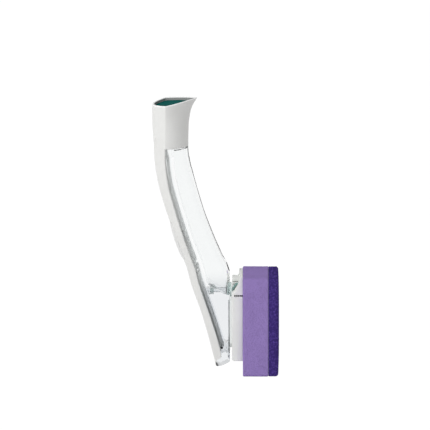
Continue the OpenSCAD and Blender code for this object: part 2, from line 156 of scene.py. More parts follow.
def back_arc(c, inset):
    """The back of a cut, a parabola from the back edge to the seam."""
    n = BACK_STEPS
    s, w = c[5] - inset, c[4] - inset
    return [(inset + s * (j / n) ** 2, w * j / n) for j in range(-n, n + 1)]


def front_arc(c, inset, start):
    """The front of a cut, round the nose from one side of the seam to the other."""
    n = FRONT_STEPS
    reach, w = deep(c) - inset - c[5], c[4] - inset
    a0 = math.asin(min(1, (start / reach) ** (c[6] / 2))) if start > 0 else 0
    out = []
    for j in range(-n, n + 1):
        e = 1 - abs(j) / n
        a = a0 + (math.pi / 2 - a0) * e
        side = 1 if j < 0 else -1
        out.append((c[5] + reach * math.sin(a) ** (2 / c[6]),
                    side * w * max(math.cos(a), 0) ** (2 / c[7])))
    return out


def full(c, inset):
    """A whole cut, front and back, without the seam's points twice."""
    return front_arc(c, inset, 0) + back_arc(c, inset)[1:-1]


def box_ring(u0, u1, w):
    return [(u0, -w), (u0, w), (u1, w), (u1, -w)]


def steps(a, b, n):
    return [a + (b - a) * i / n for i in range(n + 1)]


def row_at(z, u):
    """The row at which a line u in front of the seam reaches a height."""
    lo, hi = 8.0, 14.0
    for _ in range(30):
        mid = (lo + hi) / 2
        c = cut(mid)
        if flat(c, c[5] + u)[1] > z:
            lo = mid
        else:
            hi = mid
    return lo


def seam_point(k, u):
    """The point that lies u in front of the seam, as (x, z)."""
    c = cut(k)
    return flat(c, c[5] + u)


DECK_DEPTH = PLUG_DEPTH + PLUG_FLANGE
MOUTH_DROP = SPREAD[0][1] - SPREAD[1][1]
NECK_OUT = PORT_D + 2 * NECK_WALL
PORT_X = SPREAD[COLLAR][0] + SPREAD[COLLAR][5] + NECK_OUT / 2 + 1
NECK_TOP = SPREAD[2][1] + 1
TOP_PIVOT = flat(cut(3.8), 8)
LOW_PIVOT = seam_point(13.85, 2)
LEVER_GAP, LEVER_T, LEVER_W, LEVER_LAP = 1.1, 2.4, 9.0, 1.0
# Rows at the lower lever's tip and at its eye, and the eye's radius
TIP_ROW, EYE_ROW, EYE_R = 10.1, 13.9, 2.1
EAR_ROWS, EAR_REACH, EAR_T = (3.5, 3.97), (2.2, 11.4), 2.5
BUTTON_ROWS, POST_ROWS, BUTTON_W = (7.77, 9.46), (8.35, 8.9), 13.0
# The head: rail, plate with its thumb block, pockets and vents, and pad
RAIL_TOP = OUTLET_Z - OUTLET_D / 2 - 5.5
RAIL_WEB, RAIL_W, RAIL_FLANGE = 16.0, 24.0, 2.4
PAD_TAIL = 14.6
PLATE_TOP, PLATE_W = PAD_TAIL + 86.6, 37.0
THUMB_W, SLOT_PITCH = 12.0, 2.6
POCKET_W, POCKET_Y, CLIP_W = 11.0, 11.2, 20.4
VENTS, VENT_LOW = 5, PAD_TAIL + 66.6
VENT_W, VENT_H, VENT_D, VENT_PITCH = 1.35, 1.9, 8.0, 1.75
PAD_LEN, PAD_W, PAD_R_TOP, PAD_R_LOW = 102.0, 53.0, 4, 3


def mouth_row(d):
    """The row that lies d below the mouth's rim."""
    return d / MOUTH_DROP


# Making meshes

def solid(name, verts, faces):
    """A mesh object from points in millimetres, with its faces turned outwards."""
    mesh = bpy.data.meshes.new(name)
    mesh.from_pydata([tuple(MM * a for a in v) for v in verts], [], faces)
    mesh.validate()
    obj = bpy.data.objects.new(name, mesh)
    bpy.context.scene.collection.objects.link(obj)
    bm = bmesh.new()
    bm.from_mesh(mesh)
    bmesh.ops.recalc_face_normals(bm, faces=bm.faces)
    bm.to_mesh(mesh)
    bm.free()
    return obj


def loft(name, rings):
    """A closed solid through rings that all have the same number of points."""
    n, m = len(rings[0]), len(rings)
    verts = [p for r in rings for p in r]
    faces = [(i * n + j, (i + 1) * n + j, (i + 1) * n + (j + 1) % n, i * n + (j + 1) % n)
             for i in range(m - 1) for j in range(n)]
    faces += [tuple(range(n)), tuple((m - 1) * n + j for j in range(n))]
    return solid(name, verts, faces)


def slab(name, outline, w, y=0.0):
    """A flat outline in the mirror plane, as (x, z), made w wide."""
    return loft(name, [[(x, y + side * w / 2, z) for x, z in outline] for side in (-1, 1)])


def turned(name, profile, n, place):
    """A solid turned from a profile of (radius, height), put where place sends it."""
    turns = [2 * math.pi * j / n for j in range(n)]
    return loft(name, [[place(r * math.cos(a), r * math.sin(a), h) for a in turns]
                       for r, h in profile])


def straight(r, low, high):
    """The profile of a plain round bar or bore."""
    return [(r, low), (r, high)]


def upright(name, x, z, profile):
    """A turned solid along Z."""
    return turned(name, profile, 64, lambda a, b, h: (x + a, b, z + h))


def along(name, z, profile):
    """A turned solid along X, in the mirror plane."""
    return turned(name, profile, 48, lambda a, b, h: (h, a, z + b))


def across(name, x, z, profile):
    """A turned solid along Y."""
    return turned(name, profile, 40, lambda a, b, h: (x + a, h, z + b))


def block(name, low, high):
    (x0, y0, z0), (x1, y1, z1) = low, high
    return loft(name, [[(x0, y0, z), (x1, y0, z), (x1, y1, z), (x0, y1, z)] for z in (z0, z1)])


def bake_modifiers(obj):
    """Write what the modifiers make into the mesh."""
    depsgraph = bpy.context.evaluated_depsgraph_get()
    made = bpy.data.meshes.new_from_object(obj.evaluated_get(depsgraph))
    obj.modifiers.clear()
    old, obj.data = obj.data, made
    bpy.data.meshes.remove(old)


def drop(obj):
    mesh = obj.data
    bpy.data.objects.remove(obj)
    bpy.data.meshes.remove(mesh)


def carve(obj, tools, how="DIFFERENCE"):
    """Cut the tools out of obj, or join them to it, and remove them."""
    for t in tools:
        mod = obj.modifiers.new("carve", "BOOLEAN")
        mod.operation = how
        mod.solver = "EXACT"
        mod.object = t
        bake_modifiers(obj)
        drop(t)
    return obj


def bevel(obj, width, segments=2, angle=30):
    mod = obj.modifiers.new("bevel", "BEVEL")
    mod.width = width * MM
    mod.segments = segments
    mod.limit_method = "ANGLE"
    mod.angle_limit = math.radians(angle)
    mod.use_clamp_overlap = True
    bake_modifiers(obj)
    return obj


def smooth(obj, angle):
    """Smooth the normals except across edges sharper than the angle."""
    mesh = obj.data
    mesh.polygons.foreach_set("use_smooth", [True] * len(mesh.polygons))
    mesh.set_sharp_from_angle(angle=math.radians(angle))


def weld(obj):
    """Join points that meet, and leave no loose edge, loose point or open slit."""
    nearest = 0.0015 * MM
    bm = bmesh.new()
    bm.from_mesh(obj.data)
    bmesh.ops.remove_doubles(bm, verts=bm.verts, dist=nearest)
    bmesh.ops.dissolve_degenerate(bm, edges=bm.edges, dist=nearest)
    bmesh.ops.delete(bm, geom=[e for e in bm.edges if not e.link_faces], context="EDGES")
    bmesh.ops.delete(bm, geom=[v for v in bm.verts if not v.link_faces], context="VERTS")
    bmesh.ops.holes_fill(bm, edges=[e for e in bm.edges if e.is_boundary], sides=0)
    bm.to_mesh(obj.data)
    bm.free()
    return obj


def finish_piece(obj, body, material, slot, *nodes):
    """Give a piece its material, hang it on the body it rides on, and hide the nodes it stands for.
    """
    obj.data.materials.clear()
    obj.data.materials.append(bpy.data.materials[material])
    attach(obj, body)
    if nodes:
        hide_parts(*nodes)


def dress(material, *nodes):
    """Give carried-over nodes their material."""
    made = bpy.data.materials[material]
    for obj in (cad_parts[node] for node in nodes):
        if not obj.data.materials:
            obj.data.materials.append(made)
        for s in obj.material_slots:
            s.material = made


# Node groups and materials

def rgba(colour):
    return tuple(colour)[:3] + (1.0,)


class Graph:
    """A node tree with short ways to add and join nodes."""

    def __init__(self, tree):
        self.tree = tree

    def add(self, kind, **values):
        node = self.tree.nodes.new(kind)
        for key, value in values.items():
            setattr(node, key, value)
        return node

    def join(self, value, socket):
        """Feed a socket from another one, or give it a plain value."""
        if isinstance(value, bpy.types.NodeSocket):
            self.tree.links.new(value, socket)
        else:
            socket.default_value = value

    def fill(self, node, **inputs):
        for key, value in inputs.items():
            self.join(value, node.inputs[key.replace("_", " ")])
        return node

    def math(self, how, *values):
        node = self.add("ShaderNodeMath", operation=how)
        for i, value in enumerate(values):
            self.join(value, node.inputs[i])
        return node.outputs[0]

    def spread(self, value, low, high, to_low=0.0, to_high=1.0):
        node = self.add("ShaderNodeMapRange", clamp=True)
        self.fill(node, Value=value, From_Min=low, From_Max=high, To_Min=to_low, To_Max=to_high)
        return node.outputs[0]

    def mix(self, factor, a, b):
        node = self.add("ShaderNodeMix", data_type="RGBA")
        self.join(factor, node.inputs[0])
        for i, v in ((6, a), (7, b)):
            self.join(v if isinstance(v, bpy.types.NodeSocket) else rgba(v), node.inputs[i])
        return node.outputs[2]

    def mix_shaders(self, factor, a, b):
        node = self.add("ShaderNodeMixShader")
        for i, v in enumerate((factor, a, b)):
            self.join(v, node.inputs[i])
        return node.outputs[0]

    def noise(self, place, scale, detail, roughness=0.5):
        return self.fill(self.add("ShaderNodeTexNoise"), Vector=place, Scale=scale,
                         Detail=detail, Roughness=roughness).outputs

    def cells(self, place, scale):
        node = self.fill(self.add("ShaderNodeTexVoronoi"), Vector=place, Scale=scale, Randomness=1.0)
        return node.outputs["Distance"]

    def tinted(self, colour, value):
        node = self.fill(self.add("ShaderNodeHueSaturation"), Color=colour, Value=value)
        return node.outputs[0]

    def warped(self, place, scale, reach):
        """A place pushed about by noise, by up to reach in metres."""
        bent = self.add("ShaderNodeVectorMath", operation="MULTIPLY_ADD")
        self.join(self.noise(place, scale, 2.0)["Color"], bent.inputs[0])
        self.join((reach, reach, reach), bent.inputs[1])
        self.join(place, bent.inputs[2])
        return bent.outputs[0]


def group(name, inputs, outputs):
    """A new shader node group with named float or colour inputs and outputs."""
    tree = bpy.data.node_groups.new(name, "ShaderNodeTree")
    for label, value in inputs:
        kind = "NodeSocketColor" if isinstance(value, tuple) else "NodeSocketFloat"
        socket = tree.interface.new_socket(label, in_out="INPUT", socket_type=kind)
        socket.default_value = value + (1.0,) if isinstance(value, tuple) else value
    for label, kind in outputs:
        tree.interface.new_socket(label, in_out="OUTPUT", socket_type=kind)
    g = Graph(tree)
    return g, g.add("NodeGroupInput").outputs, g.add("NodeGroupOutput").inputs


def placed(g, name, **values):
    """A node group set into a material, with its own values."""
    node = g.add("ShaderNodeGroup", node_tree=bpy.data.node_groups[name])
    return g.fill(node, **values).outputs


def object_place(g):
    return g.add("ShaderNodeTexCoord").outputs["Object"]


COLOUR_OUT = ("Colour", "NodeSocketColor")
ROUGHNESS_OUT = ("Roughness", "NodeSocketFloat")
HEIGHT_OUT = ("Height", "NodeSocketFloat")


def make_moulded_skin():
    """Fine orange peel, soft blotches and rubbed patches of a moulded surface."""
    g, given, out = group(
        "Moulded skin",
        [("Colour", (0.5, 0.5, 0.5)), ("Grain", 2500.0), ("Roughness", 0.4), ("Rub", 0.08)],
        [COLOUR_OUT, ROUGHNESS_OUT, HEIGHT_OUT])
    place = object_place(g)
    grain = g.noise(place, given["Grain"], 3.0, 0.6)[0]
    patch = g.noise(place, 38.0, 4.0, 0.55)[0]
    rub = g.spread(patch, 0.35, 0.65, -0.5, 0.5)
    worn = g.math("ADD", given["Roughness"], g.math("MULTIPLY", rub, given["Rub"]))
    g.join(worn, out["Roughness"])
    tint = g.tinted(given["Colour"], g.math("ADD", 1.0, g.math("MULTIPLY", rub, 0.05)))
    g.join(tint, out["Colour"])
    g.join(grain, out["Height"])


def make_cut_foam():
    """Open cells of cut foam: small cells, a few large ones and pale struts, with painted shade in
    the cells.
    """
    g, given, out = group(
        "Cut foam",
        [("Colour", (0.3, 0.2, 0.5)), ("Pore Colour", (0.1, 0.07, 0.2)), ("Cell", 1100.0)],
        [COLOUR_OUT, HEIGHT_OUT])
    place = object_place(g)
    bent = g.warped(place, 600.0, 0.0006)
    small = g.cells(bent, given["Cell"])
    large = g.cells(bent, g.math("MULTIPLY", given["Cell"], 0.36))
    wall = g.math("MULTIPLY", g.spread(small, 0.1, 0.42), g.spread(large, 0.06, 0.2))
    cloud = g.noise(place, 70.0, 4.0, 0.6)[0]
    tone = g.tinted(given["Colour"], g.spread(cloud, 0.3, 0.7, 0.93, 1.07))
    # Painted shade: the colour darkens in the cells, where the height is low
    g.join(g.mix(g.spread(wall, 0.0, 0.75, 0.35, 1.0), given["Pore Colour"], tone), out["Colour"])
    g.join(wall, out["Height"])


def make_fibre_mat():
    """A mat of crossing fibres: three layers of stretched strands over gaps darkened with painted
    shade.
    """
    g, given, out = group(
        "Fibre mat",
        [("Colour", (0.1, 0.05, 0.2)), ("Gap Colour", (0.02, 0.01, 0.05)), ("Strand", 420.0)],
        [COLOUR_OUT, HEIGHT_OUT])
    place = object_place(g)
    total = None
    for turn in ((0.4, 0.9, 0.2), (1.7, -0.5, 1.1), (-0.8, 0.3, 2.2)):
        spun = g.fill(g.add("ShaderNodeMapping"), Vector=g.warped(place, 160.0, 0.004),
                      Rotation=turn, Scale=(1.0, 0.16, 1.0))
        strand = g.cells(spun.outputs[0], given["Strand"])
        ridge = g.spread(strand, 0.0, 0.55, 1.0, 0.0)
        total = ridge if total is None else g.math("MAXIMUM", total, ridge)
    cloud = g.noise(place, 90.0, 5.0, 0.6)[0]
    tone = g.tinted(given["Colour"], g.spread(cloud, 0.3, 0.7, 0.85, 1.15))
    # Painted shade: the colour darkens between the strands, where the height is low
    g.join(g.mix(g.spread(total, 0.25, 0.8), given["Gap Colour"], tone), out["Colour"])
    g.join(total, out["Height"])


def new_material(name):
    m = bpy.data.materials.new(name)
    m.use_nodes = True
    g = Graph(m.node_tree)
    return m, g, m.node_tree.nodes["Principled BSDF"], m.node_tree.nodes["Material Output"]


def bump(g, height, strength, distance):
    """A normal from a height, at most distance millimetres deep."""
    node = g.fill(g.add("ShaderNodeBump"), Height=height, Strength=strength, Distance=distance * MM)
    return node.outputs[0]


def moulded(name, colour, roughness, grain, peel, specular=0.5, painted_shading=None, crest=None):
    """Opaque plastic or rubber, with other colours where a mesh's mask is 1 or 2: painted shade at 1
    and a painted highlight at 2.
    """
    m, g, s, _ = new_material(name)
    tone = rgba(colour)
    # Painted shade: the second colour goes where the mask is 1
    if painted_shading is not None:
        mask = g.add("ShaderNodeAttribute", attribute_name="painted_shading").outputs["Fac"]
        tone = g.mix(mask, colour, painted_shading)
        # Painted highlight: the crest colour goes where the mask is 2
        if crest is not None:
            tone = g.mix(g.spread(mask, 1.0, 2.0), tone, crest)
    skin = placed(g, "Moulded skin", Colour=tone, Grain=grain, Roughness=roughness, Rub=0.08)
    g.fill(s, Base_Color=skin["Colour"], Roughness=skin["Roughness"],
           Specular_IOR_Level=specular, Coat_Weight=0.0, Coat_Roughness=0.12,
           Normal=bump(g, skin["Height"], 0.5, peel))


def clear(name, colour, roughness, ior, foot=None):
    """Clear plastic, which lets the lamps' light through to what is behind it."""
    m, g, s, out = new_material(name)
    tint = rgba(colour)
    # Painted shade: below 80 mm the tint is the darker foot colour, blending into the plain one by
    # 100 mm, darker lower down
    if foot is not None:
        up = g.add("ShaderNodeSeparateXYZ")
        g.join(object_place(g), up.inputs[0])
        tint = g.mix(g.spread(up.outputs["Z"], 0.08, 0.1), foot, colour)
    skin = placed(g, "Moulded skin", Colour=rgba(colour), Grain=900.0, Roughness=roughness, Rub=0.02)
    g.fill(s, Base_Color=tint, Roughness=skin["Roughness"], IOR=ior,
           Transmission_Weight=1.0, Normal=bump(g, skin["Height"], 0.3, 0.004))
    pass_on = g.fill(g.add("ShaderNodeBsdfTransparent"), Color=rgba(0.96 * c for c in colour))
    shadow = g.add("ShaderNodeLightPath").outputs["Is Shadow Ray"]
    g.join(g.mix_shaders(shadow, s.outputs[0], pass_on.outputs[0]), out.inputs["Surface"])


def metal(name, colour, roughness):
    """Bare metal with a drawn, slightly rubbed surface."""
    m, g, s, _ = new_material(name)
    skin = placed(g, "Moulded skin", Colour=rgba(colour), Grain=1800.0, Roughness=roughness, Rub=0.15)
    g.fill(s, Base_Color=skin["Colour"], Roughness=skin["Roughness"], Metallic=1.0,
           Normal=bump(g, skin["Height"], 0.4, 0.01))


def porous(name, kind, relief, sheen, **values):
    """Dull foam or fibre from the node group kind, relief millimetres deep."""
    m, g, s, _ = new_material(name)
    skin = placed(g, kind, **values)
    g.fill(s, Base_Color=skin["Colour"], Roughness=1.0, Specular_IOR_Level=0.03,
           Sheen_Weight=sheen, Sheen_Roughness=0.6,
           Normal=bump(g, skin["Height"], 0.8, relief))


def colour_prop(label, what, code):
    return FloatVectorProperty(name=label, description=what, subtype="COLOR", size=3,
                               min=0, max=1, default=shade(code))


def size_prop(label, what, default, low, high, **more):
    return FloatProperty(name=label, description=what, default=default, min=low, max=high, **more)


class WandColours(bpy.types.PropertyGroup):
    """Colours of the wand's plastics, rubber and pad."""
    clear_plastic: colour_prop("Clear plastic", "Tint of the clear body", "fafbfb")
    # Painted shade: a darker tint for the clear body's lower part
    lower_clear_shade: colour_prop("Clear foot", "Tint of the clear body's foot", "eaecee")
    rail: colour_prop("Rail", "Tint of the rail", "e6e9e8")
    silicone: colour_prop("Silicone", "Colour of the stem seal", "e4eae8")
    shell: colour_prop("Shell", "Colour of the collar and the spine", "e2e2e0")
    # Painted highlight: this near-white stands in for the light caught on the rim's rounded top
    rim: colour_prop("Rim", "Colour of the rubbed rim", "fafafa")
    # Painted shade: this darker grey stands in for the shade inside the fill mouth
    inner: colour_prop("Mouth lining", "Colour inside the fill mouth", "868988")
    button: colour_prop("Button", "Colour of the thumb button", "e2e2e1")
    # Painted shade: the dark grey inside the vents stands in for the shade in these holes
    vent_shade: colour_prop("Vents", "Colour inside the head plate's vents", "3a3c3c")
    plate: colour_prop("Head plate", "Colour of the head plate", "eeefec")
    upper_lever: colour_prop("Upper lever", "Colour of the upper lever", "eceeed")
    lower_lever: colour_prop("Lower lever", "Colour of the lower lever", "f0f2f1")
    teal: colour_prop("Teal", "Colour of the plug and the seals", "025a55")
    clip: colour_prop("Clip", "Colour of the clip", "86a5a1")
    pale_seal: colour_prop("Valve seals", "Colour of the valve disc and the outlet seal", "cddcd9")
    seal: colour_prop("Seal", "Colour of the neck seal", "2b2f2e")
    foam: colour_prop("Foam", "Colour of the foam", "9c85c4")
    # Painted shade: the darker colour in the foam's cells
    foam_pore_shade: colour_prop("Foam pores", "Colour inside the foam's cells", "7c66a6")
    scrub: colour_prop("Scrub layer", "Colour of the scrub layer's fibres", "5b469a")
    # Painted shade: the darker colour between the fibres
    scrub_gap_shade: colour_prop("Scrub gaps", "Colour between the fibres", "3f2f74")
    floor: colour_prop("Floor", "Colour of the floor", "fafafa")


class WandSizes(bpy.types.PropertyGroup):
    """Sizes of the finer forms, in millimetres, and the clear plastic's index."""
    rim: size_prop("Rim radius", "Rounding of the collar's rim", 0.9, 0.3, 1.0)
    seam_edge: size_prop("Seam edge", "Easing of the spine's edges at the seam", 0.8, 0.2, 1.2)
    plate_edge: size_prop("Plate edge", "Rounding of the head plate's edges", 0.4, 0.2, 1.2)
    cell: size_prop("Foam cell", "Spacing of the foam's small cells", 0.9, 0.4, 2.0)
    crown: size_prop("Pad crown", "How far the scrub face's middle stands proud", 0.9, 0.0, 2.0)
    bend: size_prop("Clear index", "Refractive index of the clear body", 1.22, 1.05, 1.6,
                    subtype="FACTOR")
    ribs: IntProperty(name="Thumb slots", description="Slots across the head plate's thumb block",
                      default=2, min=1, max=3)


def colours():
    return bpy.context.scene.wand_colours


def sizes():
    return bpy.context.scene.wand_sizes


# The stage: half the floor's side and its height in millimetres, and the camera in metres
FLOOR_HALF, FLOOR_Z = 3000, -0.5
VIEW_WIDTH, VIEW_DISTANCE, VIEW_TILT = 0.430, 1.6, math.radians(15)
VIEW_CENTRE = (-0.00075, 0, 0.161)
# Brightness of the world that the clear plastic shows
GLASS_LEVEL = 0.8


class WAND_OT_stage(bpy.types.Operator):
    """Set up the floor, the lamps, the world and the camera"""
    bl_idname = "wand.stage"
    bl_label = "Stage"

    def execute(self, context):
        scene = context.scene
        scene.view_settings.view_transform = "Standard"
        build_world(scene)
        corners = [(FLOOR_HALF * a, FLOOR_HALF * b, FLOOR_Z) for a, b in
                   ((-1, -1), (1, -1), (1, 1), (-1, 1))]
        floor = solid("floor", corners, [(0, 1, 2, 3)])
        floor.data.materials.append(floor_material())
        # name, place, target, size, power
        lamp("key lamp", (-0.58, -0.54, 0.48), (-0.01, 0.0, 0.17), 0.5, 3.1)
        lamp("fill lamp", (0.75, -0.6, 0.4), (0.02, 0.0, 0.12), 0.6, 0.32)
        lamp("top lamp", (0.1, -0.1, 1.0), (0.02, 0.0, 0.12), 0.6, 0.6)
        cam = bpy.data.cameras.new("camera")
        cam.type = "ORTHO"
        cam.ortho_scale = VIEW_WIDTH
        cam.clip_end = 20.0
        obj = bpy.data.objects.new("camera", cam)
        scene.collection.objects.link(obj)
        look = Vector((0, math.cos(VIEW_TILT), -math.sin(VIEW_TILT)))
        obj.location = Vector(VIEW_CENTRE) - VIEW_DISTANCE * look
        obj.rotation_euler = look.to_track_quat("-Z", "Y").to_euler()
        scene.camera = obj
        return {"FINISHED"}


def lamp(name, place, target, size, power):
    data = bpy.data.lights.new(name, "AREA")
    data.shape = "DISK"
    data.size = size
    data.energy = power
    obj = bpy.data.objects.new(name, data)
    obj.location = place
    obj.rotation_euler = (Vector(target) - Vector(place)).to_track_quat("-Z", "Y").to_euler()
    bpy.context.scene.collection.objects.link(obj)


def seen_in_glass(g, path):
    return g.math("MAXIMUM", path["Is Glossy Ray"], path["Is Transmission Ray"])


def backdrop(g, level, strength):
    node = g.fill(g.add("ShaderNodeBackground"), Color=(level, level, level, 1), Strength=strength)
    return node.outputs[0]


def build_world(scene):
    """White behind the wand, paler grey in its glass, and a softer light on its surfaces."""
    world = scene.world or bpy.data.worlds.new("world")
    scene.world = world
    world.use_nodes = True
    g = Graph(world.node_tree)
    world.node_tree.nodes.clear()
    out = g.add("ShaderNodeOutputWorld")
    path = g.add("ShaderNodeLightPath").outputs
    up = g.add("ShaderNodeSeparateXYZ")
    g.join(g.add("ShaderNodeTexCoord").outputs["Generated"], up.inputs[0])
    level = g.math("ABSOLUTE", up.outputs["Z"])
    side = g.math("ABSOLUTE", up.outputs["X"])
    dim = g.math("MULTIPLY", g.spread(level, 0.35, 0.95, 1.0, 0.8),
                 g.spread(side, 0.55, 0.98, 1.0, 0.95))
    near = g.mix_shaders(seen_in_glass(g, path), backdrop(g, 1, 0.5), backdrop(g, GLASS_LEVEL, dim))
    behind = backdrop(g, 1, 1.0)
    g.join(g.mix_shaders(path["Is Camera Ray"], near, behind), out.inputs["Surface"])


def floor_material():
    """A pale floor, seen white in glass and behind the wand, with the wand's shadow on it."""
    m, g, s, out = new_material("floor paint")
    base = tuple(colours().floor)
    tone = g.mix(g.noise(object_place(g), 30.0, 3.0)[0], base, tuple(0.985 * c for c in base))
    g.fill(s, Base_Color=tone, Roughness=0.85, Specular_IOR_Level=0.1)
    glow = g.fill(g.add("ShaderNodeEmission"), Strength=1.05)
    path = g.add("ShaderNodeLightPath").outputs
    in_glass = g.math("MULTIPLY", seen_in_glass(g, path), 0.92)
    behind = g.math("MULTIPLY", path["Is Camera Ray"], 0.95)
    share = g.math("MINIMUM", g.math("ADD", in_glass, behind), 1.0)
    g.join(g.mix_shaders(share, s.outputs[0], glow.outputs[0]), out.inputs["Surface"])
    return m


class WAND_OT_finishes(bpy.types.Operator):
    """Make the node groups and the materials"""
    bl_idname = "wand.finishes"
    bl_label = "Finishes"

    def execute(self, context):
        c = colours()
        make_moulded_skin()
        make_cut_foam()
        make_fibre_mat()
        clear("clear plastic", c.clear_plastic, 0.02, sizes().bend, foot=c.lower_clear_shade)
        clear("rail plastic", c.rail, 0.3, 1.1)
        clear("clear silicone", c.silicone, 0.25, 1.41)
        # name, colour, roughness, grain and depth of the peel
        # The mouth's walls get painted shade and the rim a painted highlight, through the mesh's mask
        moulded("shell plastic", c.shell, 0.38, 2600.0, 0.015, painted_shading=c.inner, crest=c.rim)
        moulded("button plastic", c.button, 0.34, 2600.0, 0.02)
        # The vents' insides get painted shade, through the mesh's mask
        moulded("plate plastic", c.plate, 0.42, 2200.0, 0.02, painted_shading=c.vent_shade)
        moulded("upper lever plastic", c.upper_lever, 0.4, 1800.0, 0.02)
        moulded("lower lever plastic", c.lower_lever, 0.4, 1800.0, 0.02)
        moulded("teal rubber", c.teal, 0.75, 1500.0, 0.03, specular=0.06)
        for name, colour in (("pale seal rubber", c.pale_seal), ("clip rubber", c.clip),
                             ("dark seal rubber", c.seal)):
            moulded(name, colour, 0.6, 1500.0, 0.03, specular=0.3)
        metal("spring steel", shade("c8cacc"), 0.25)
        porous("cut foam", "Cut foam", 0.35, 0.02, Colour=rgba(c.foam),
               Pore_Colour=rgba(c.foam_pore_shade), Cell=1000.0 / sizes().cell)
        porous("scrub fibres", "Fibre mat", 0.5, 0.0, Colour=rgba(c.scrub),
               Gap_Colour=rgba(c.scrub_gap_shade), Strand=420.0)
        return {"FINISHED"}


def shell_ring(k, inset=0.0, front_inset=0.0):
    """A ring of the collar, or of the spine below it, always with as many points."""
    c = cut(k)
    if k <= COLLAR:
        return ring(c, front_arc(c, inset + front_inset, 0) + back_arc(c, inset)[1:-1])
    return spine_ring(c)


def spine_ring(c):
    """A cut of the spine, with its edges eased at the seam."""
    ease, n, m = sizes().seam_edge, FRONT_STEPS, BACK_STEPS
    front = [(c[5], (c[4] - ease) * (1 - (j + n) / n)) for j in range(-n, n + 1)]
    reach = math.sqrt(1 - ease / c[5]) * m / (m - 1)
    back = [(c[5] * (reach * j / m) ** 2, c[4] * reach * j / m) for j in range(1 - m, m)]
    return ring(c, front + back)


def quarter_turn(r):
    """Insets and depths of a rounded edge, from its crest outwards."""
    return [(r * (1 - math.sin(a)), r * (1 - math.cos(a))) for a in steps(0, math.pi / 2, 6)]


def shell_solid():
    """The collar, stepped in at its lower edge, with the spine below it."""
    r = sizes().rim
    rings = [shell_ring(mouth_row(d), inset) for inset, d in quarter_turn(r)]
    rings += [shell_ring(k) for k in steps(mouth_row(r) + 0.06, COLLAR - 0.05, 46)]
    rings += [shell_ring(COLLAR - 0.018, 0, 0.12), shell_ring(COLLAR, 0, 0.5)]
    rings.append(spine_ring(cut(COLLAR)))
    rings += [shell_ring(k) for k in steps(COLLAR + 0.04, TAIL - 0.06, 110)]
    rings.append(spine_ring(cut(TAIL)))
    return weld(loft("back_shell_moulding", rings))


def mouth_cutter():
    """The funnel above the deck, flared at the rim."""
    r = sizes().rim
    c1, c0 = cut(MOUTH), cut(mouth_row(DECK_DEPTH))
    above = c1.copy()
    above[:4] += (c1[:4] - c0[:4]) * 0.1
    rings = [ring(above, full(above, SHELL_WALL - r - 0.1))]
    levels = [(d, SHELL_WALL - inset) for inset, d in quarter_turn(r)]
    levels += [(d, SHELL_WALL) for d in steps(r + 0.8, DECK_DEPTH, 6)]
    for d, inset in levels:
        c = cut(mouth_row(d))
        rings.append(ring(c, full(c, inset)))
    return loft("cut", rings)


def collar_cutter():
    """The room in the collar below the deck, less the pillar round the fill port."""
    rows = steps(1.3, COLLAR, 22) + [COLLAR + 0.1]
    hollow = loft("cut", [ring(cut(k), full(cut(k), SHELL_WALL)) for k in rows])
    pillar = upright("pillar", PORT_X, NECK_TOP, straight(NECK_OUT / 2, 0, 45))
    return carve(hollow, [pillar])


def spine_cutter():
    """The hollow front of the spine."""
    rings = []
    for k in steps(COLLAR - 0.3, 14.4, 70):
        c = cut(k)
        w = c[4] - SHELL_WALL
        rings.append(ring(c, back_arc(c, SHELL_WALL) + [(c[5] + 1, w), (c[5] + 1, -w)]))
    return loft("cut", rings)


# The curve that rounds off the spine's lower end, closed below and in front, as (x, z)
TAIL_END = [(7.9, 28.0), (7.6, 24.0), (7.0, 20.6), (5.9, 18.2), (4.2, 16.2), (2.2, 14.2),
            (0.8, 12.0), (-0.1, 9.6), (-0.8, 7.6), (-3.0, 5.0), (-3.0, -2.0), (12.0, -2.0),
            (12.0, 28.0)]


def tail_cutter(grow=0.0):
    """What lies below and in front of the spine's rounded end."""
    return slab("cut", [(x - grow, z) for x, z in TAIL_END], 60)


def tail_solid():
    """The handle's outer form behind the seam, at its tail."""
    return weld(loft("tail", [shell_ring(k) for k in steps(13.4, TAIL, 24)]))


def window_cutter():
    """The thumb button's window, with its gap all round."""
    size = math.dist(flat(cut(BUTTON_ROWS[0]), 0), flat(cut(BUTTON_ROWS[1]), 0))
    ease = 2 * MOVE_GAP * (BUTTON_ROWS[1] - BUTTON_ROWS[0]) / size
    w = BUTTON_W / 2 + MOVE_GAP
    return loft("cut", [ring(cut(k), box_ring(-4, 5, w)) for k in
                        steps(BUTTON_ROWS[0] - ease, BUTTON_ROWS[1] + ease, 24)])


def mask_faces(obj, name, value_of):
    """A mask of the faces, from each face's centre in millimetres and its normal."""
    mask = obj.data.attributes.new(name, "FLOAT", "FACE")
    values = [float(value_of(f.center / MM, f.normal)) for f in obj.data.polygons]
    mask.data.foreach_set("value", values)


def looks_into_mouth(p, n):
    """2 on the rim, for its painted highlight, and 1 on the walls that look into the fill mouth, for
    the painted shade inside it.
    """
    c = cut(MOUTH)
    along_rim = np.array([c[2] - c[0], c[3] - c[1]]) / deep(c)
    centre = np.array([(c[0] + c[2]) / 2, (c[1] + c[3]) / 2])
    u = (p.x - centre[0]) * along_rim[0] + (p.z - centre[1]) * along_rim[1]
    below = (p.x - centre[0]) * along_rim[1] - (p.z - centre[1]) * along_rim[0]
    inward = -(u * (n.x * along_rim[0] + n.z * along_rim[1]) + p.y * n.y)
    if below < 0.75:
        return 2
    return below < DECK_DEPTH + 0.6 and inward > 0


